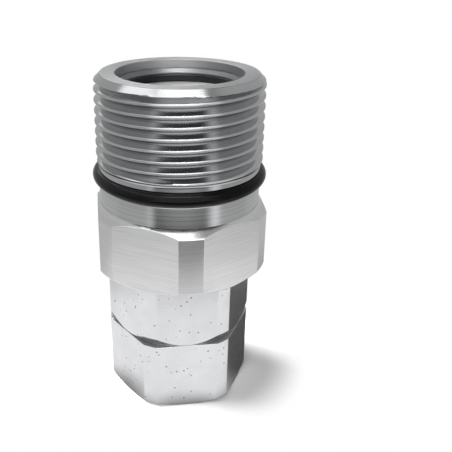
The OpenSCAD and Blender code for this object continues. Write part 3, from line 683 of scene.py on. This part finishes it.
def patched(tree, level, patches):
    """Brightness of a surface after each patch (mask, brightness there) is laid over it."""
    for patch, level_there in patches:
        level = add(tree, "ShaderNodeMix", {0: patch, 2: level, 3: level_there}).outputs[0]
    return level


def floor_material():
    """White table: to the camera a matt white that takes shadows near the part and pure white beyond.
    To reflections it carries painted light and shade: a painted contact shadow under the part that
    fades to white further out, a painted shadow right beside the part at the right, painted shade in
    front, painted light beyond that shade, and half bright at the sides and behind."""
    made, tree = material("white_table_paper")
    here = add(tree, "ShaderNodeTexCoord").outputs["Object"]
    ray = add(tree, "ShaderNodeLightPath")
    spot = add(tree, "ShaderNodeSeparateXYZ", {0: here})
    far = add(tree, "ShaderNodeVectorMath", {0: here}, operation="LENGTH").outputs["Value"]
    matt = add(tree, "ShaderNodeBsdfDiffuse", {0: srgb("#f4f4f4")}).outputs[0]
    lift = add(tree, "ShaderNodeEmission", {0: srgb(WHITE), 1: 0.03}).outputs[0]
    near = add(tree, "ShaderNodeAddShader", {0: matt, 1: lift}).outputs[0]
    white = add(tree, "ShaderNodeEmission", {0: srgb(WHITE), 1: 1.0}).outputs[0]
    shadow_place = (0.007, 0.003, 0.0)
    shadow = add(tree, "ShaderNodeVectorMath", {0: here, 1: shadow_place}, operation="DISTANCE")
    beyond = ramp(tree, shadow.outputs["Value"], 0.022, 0.037)
    seen = add(tree, "ShaderNodeMixShader", {0: beyond, 1: near, 2: white}).outputs[0]
    across, depth = spot.outputs[0], spot.outputs[1]
    # Painted shadow: reflections see the table dark right beside the part at the right.
    dark = times(tree, ramp(tree, across, 0.01, 0.022), ramp(tree, depth, -0.024, -0.006),
                 ramp(tree, far, 0.11, 0.07))
    # Painted contact shadow: reflections see the table grey under the part and white further out.
    level_now = add(tree, "ShaderNodeMapRange", {0: far, 1: 0.0205, 2: 0.027, 3: 0.3, 4: 0.92})
    level_now = level_now.outputs[0]
    turn = add(tree, "ShaderNodeMath", {0: across, 1: depth}, operation="DIVIDE").outputs[0]
    aside = add(tree, "ShaderNodeMath", {0: turn}, operation="ABSOLUTE").outputs[0]
    # Painted shade in front of the part, then painted light beyond it, both seen only in reflections.
    ahead = times(tree, ramp(tree, turn, 1.15, 0.7), ramp(tree, turn, -0.85, -0.45),
                  ramp(tree, depth, -0.089, -0.105), ramp(tree, depth, -0.24, -0.19))
    shade = add(tree, "ShaderNodeMapRange", {0: depth, 1: -0.13, 2: -0.16, 3: 0.06, 4: 0.24})
    shade = shade.outputs[0]
    glow = times(tree, ramp(tree, turn, 1.1, 0.7), ramp(tree, turn, -0.45, -0.25),
                 ramp(tree, depth, -0.22, -0.3))
    wide = times(tree, ramp(tree, far, 0.1, 0.135), ramp(tree, aside, 0.8, 1.3))
    behind = times(tree, ramp(tree, depth, 0.0, 0.03), ramp(tree, far, 0.05, 0.1))
    level_now = patched(tree, level_now, (
        (wide, 0.45), (behind, 0.5), (dark, 0.07), (glow, 1.8), (ahead, shade)))
    mirrored = add(tree, "ShaderNodeEmission", {0: srgb(WHITE), 1: level_now}).outputs[0]
    either = add(tree, "ShaderNodeMath", {0: ray.outputs["Is Glossy Ray"],
                                          1: ray.outputs["Is Transmission Ray"]},
                 operation="MAXIMUM").outputs[0]
    surface = add(tree, "ShaderNodeMixShader", {0: either, 1: seen, 2: mirrored}).outputs[0]
    add(tree, "ShaderNodeOutputMaterial", {0: surface})
    return made


floor_mesh = bpy.data.meshes.new("table")
corner = np.array([(-1, -1, 0), (1, -1, 0), (1, 1, 0), (-1, 1, 0)]) * SWEEP_R
floor_mesh.from_pydata(corner.tolist(), [], [(0, 1, 2, 3)])
floor_mesh.materials.append(floor_material())
floor = bpy.data.objects.new("table", floor_mesh)
bpy.context.scene.collection.objects.link(floor)

world = bpy.data.worlds.new("light_tent")
world.use_nodes = True
sky = world.node_tree
sky.nodes.clear()
direction = add(sky, "ShaderNodeTexCoord").outputs["Generated"]
x, y, z = add(sky, "ShaderNodeSeparateXYZ", {0: direction}).outputs
side = add(sky, "ShaderNodeMath", {0: x}, operation="ABSOLUTE").outputs[0]
front = times(sky, ramp(sky, y, -0.2, -0.5), ramp(sky, side, 0.75, 0.4), ramp(sky, z, 0.92, 0.8))
back_left = times(sky, ramp(sky, y, 0.3, 0.6), ramp(sky, x, -0.05, -0.15),
                  ramp(sky, x, -0.42, -0.3), ramp(sky, z, 0.28, 0.38), ramp(sky, z, 0.85, 0.75))
small_lamp = (-0.225, 0.608, 0.76)
toward_lamp = add(sky, "ShaderNodeVectorMath", {0: direction, 1: small_lamp},
                  operation="DOT_PRODUCT").outputs["Value"]
spark = ramp(sky, toward_lamp, 0.972, 0.988)
left_slant = add(sky, "ShaderNodeMath", {0: x, 1: 1.6, 2: y}, operation="MULTIPLY_ADD").outputs[0]
left_box = times(sky, ramp(sky, x, -0.3, -0.38), ramp(sky, x, -0.75, -0.65),
                 ramp(sky, left_slant, -0.63, -0.69), ramp(sky, y, -0.25, -0.15),
                 ramp(sky, z, 0.6, 0.7))
strip = times(sky, ramp(sky, side, 0.42, 0.1), ramp(sky, y, -0.38, -0.36),
              ramp(sky, y, -0.31, -0.33), ramp(sky, z, 0.8, 0.9))
core = times(sky, ramp(sky, x, -0.24, -0.18), ramp(sky, x, 0.16, 0.1),
             ramp(sky, y, -0.27, -0.2), ramp(sky, y, 0.03, -0.02), ramp(sky, z, 0.8, 0.9))
right_gap = times(sky, ramp(sky, x, 0.12, 0.28), ramp(sky, x, 0.6, 0.4), ramp(sky, z, 0.75, 0.85))
slant = add(sky, "ShaderNodeMath", {0: side, 1: 0.475, 2: y}, operation="MULTIPLY_ADD").outputs[0]
slant = add(sky, "ShaderNodeMath", {0: x, 1: 0.125, 2: slant}, operation="MULTIPLY_ADD").outputs[0]
top_gap = times(sky, ramp(sky, y, 0.06, 0.14), ramp(sky, side, 0.36, 0.2),
                ramp(sky, z, 0.75, 0.85))
soft_box = times(sky, ramp(sky, slant, 0.06, -0.02), ramp(sky, x, -0.75, -0.6),
                 ramp(sky, x, 0.5, 0.25), ramp(sky, z, 0.65, 0.75))
level_now = patched(sky, 0.5, (
    (front, 1.7), (back_left, 1.3), (top_gap, 0.15), (right_gap, 0.36), (soft_box, 1.8),
    (left_box, 1.65), (strip, 20.0), (core, 2.2), (spark, 9.0)))
rays = add(sky, "ShaderNodeLightPath")
tent = add(sky, "ShaderNodeBackground", {0: srgb(WHITE), 1: level_now}).outputs[0]
plain = add(sky, "ShaderNodeBackground", {0: srgb(WHITE), 1: 0.22}).outputs[0]
white_out = add(sky, "ShaderNodeBackground", {0: srgb(WHITE), 1: 1.0}).outputs[0]
lit = add(sky, "ShaderNodeMixShader", {0: rays.outputs["Is Glossy Ray"], 1: plain, 2: tent}).outputs[0]
clear = add(sky, "ShaderNodeMath", {0: rays.outputs["Is Camera Ray"],
                                    1: rays.outputs["Is Transmission Ray"]},
            operation="MAXIMUM").outputs[0]
shown = add(sky, "ShaderNodeMixShader", {0: clear, 1: lit, 2: white_out}).outputs[0]
add(sky, "ShaderNodeOutputWorld", {0: shown})
bpy.context.scene.world = world

lamps_aim = Matrix.Translation((0, 0, 0.04))
for name, place, size, power in (("key_lamp", (-0.26, 0.12, 0.46), 0.36, 13.0),
                                 ("fill_lamp", (-0.2, -0.5, 0.35), 0.4, 1.2)):
    lamp = bpy.data.lights.new(name, "AREA")
    lamp.shape, lamp.size, lamp.energy = "DISK", size, power
    holder = bpy.data.objects.new(name, lamp)
    stand = Matrix.Translation(place)
    away = stand.translation - lamps_aim.translation
    holder.matrix_world = stand @ away.to_track_quat("Z", "Y").to_matrix().to_4x4()
    holder.visible_glossy = False
    bpy.context.scene.collection.objects.link(holder)

bpy.context.scene.view_settings.view_transform = "Standard"
